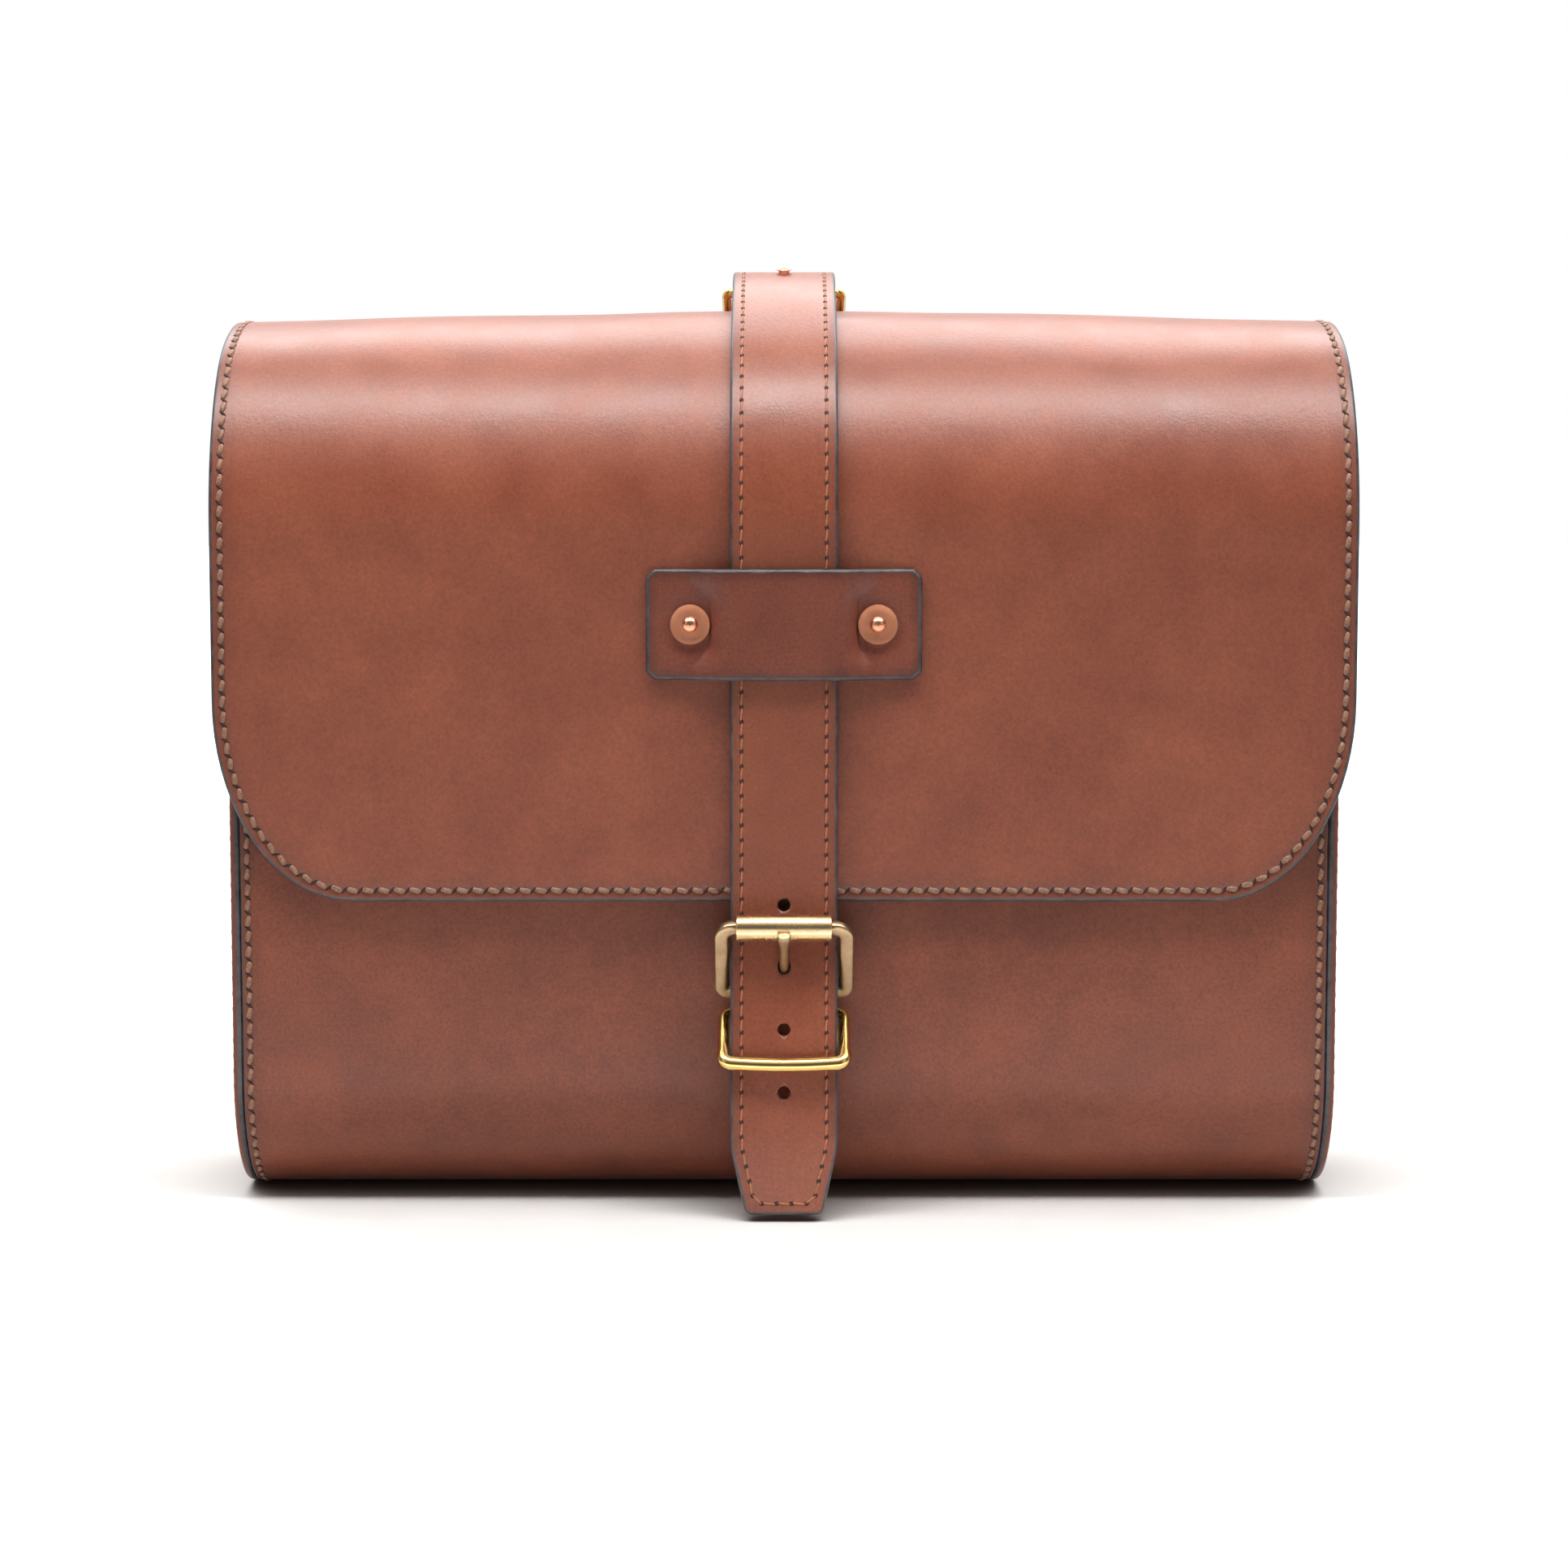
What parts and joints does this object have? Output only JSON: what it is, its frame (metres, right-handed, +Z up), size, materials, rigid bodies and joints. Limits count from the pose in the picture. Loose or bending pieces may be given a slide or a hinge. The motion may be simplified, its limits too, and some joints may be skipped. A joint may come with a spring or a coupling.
{
  "type": "satchel bag",
  "caption": "Leather satchel with a rounded fold-over flap closed by a centre strap, roller buckle and brass keeper.",
  "frame": {"origin": "centre of the base on the floor", "axes": "+Z up, front faces -Y, +X to the right seen from the front"},
  "size_m": [0.341, 0.1264, 0.2852],
  "materials": {
    "body_leather": "satin",
    "flap_leather": "satin",
    "strap_leather": "satin",
    "lining_leather": "matte",
    "retainer_leather": "satin",
    "brass": "polished",
    "copper": "polished"
  },
  "bodies": {
    "body": {"body_wrap": "body_leather", "gusset_left": "body_leather", "gusset_right": "body_leather", "flap_back": "flap_leather", "front_chape": "strap_leather", "front_chape_rivet": "copper", "front_chape_burr": "copper", "back_chape": "strap_leather", "back_chape_rivets": "copper", "back_chape_burrs": "copper"},
    "flap": {"flap_outer": "flap_leather", "flap_lining": "lining_leather", "strap_outer": "strap_leather", "strap_lining": "lining_leather", "retainer": "retainer_leather", "retainer_rivets": "copper", "retainer_burrs": "copper", "strap_rivet": "copper"},
    "buckle": {"buckle_frame": "brass"},
    "roller": {"buckle_roller": "brass"},
    "prong": {"buckle_prong": "brass"},
    "keeper": {"keeper_ring": "brass"},
    "strap_ring": {"top_ring": "brass"}
  },
  "joints": [
    {"name": "flap_hinge", "type": "hinge", "parent": "body", "child": "flap", "pos_m": [0, 0.0482, 0.2684], "axis": [-1, 0, 0], "range_deg": [0, 110], "deforming": ["strap_outer", "strap_lining"]},
    {"name": "strap_ring_swing", "type": "hinge", "parent": "body", "child": "strap_ring", "pos_m": [0, 0.0482, 0.2684], "axis": [-1, 0, 0], "range_deg": [0, 110]},
    {"name": "buckle_swing", "type": "hinge", "parent": "body", "child": "buckle", "pos_m": [0, -0.051, 0.066], "axis": [1, 0, 0], "range_deg": [0, 45]},
    {"name": "roller_spin", "type": "hinge", "parent": "buckle", "child": "roller", "pos_m": [0, -0.0611, 0.0863], "axis": [1, 0, 0], "continuous": true},
    {"name": "prong_swing", "type": "hinge", "parent": "buckle", "child": "prong", "pos_m": [0, -0.051, 0.066], "axis": [1, 0, 0], "range_deg": [0, 40]},
    {"name": "keeper_swing", "type": "hinge", "parent": "body", "child": "keeper", "pos_m": [0, -0.0506, 0.0596], "axis": [-1, 0, 0], "range_deg": [0, 35]}
  ],
  "couplings": [
    {"joint": "strap_ring_swing", "follows": "flap_hinge", "ratio": 1}
  ]
}
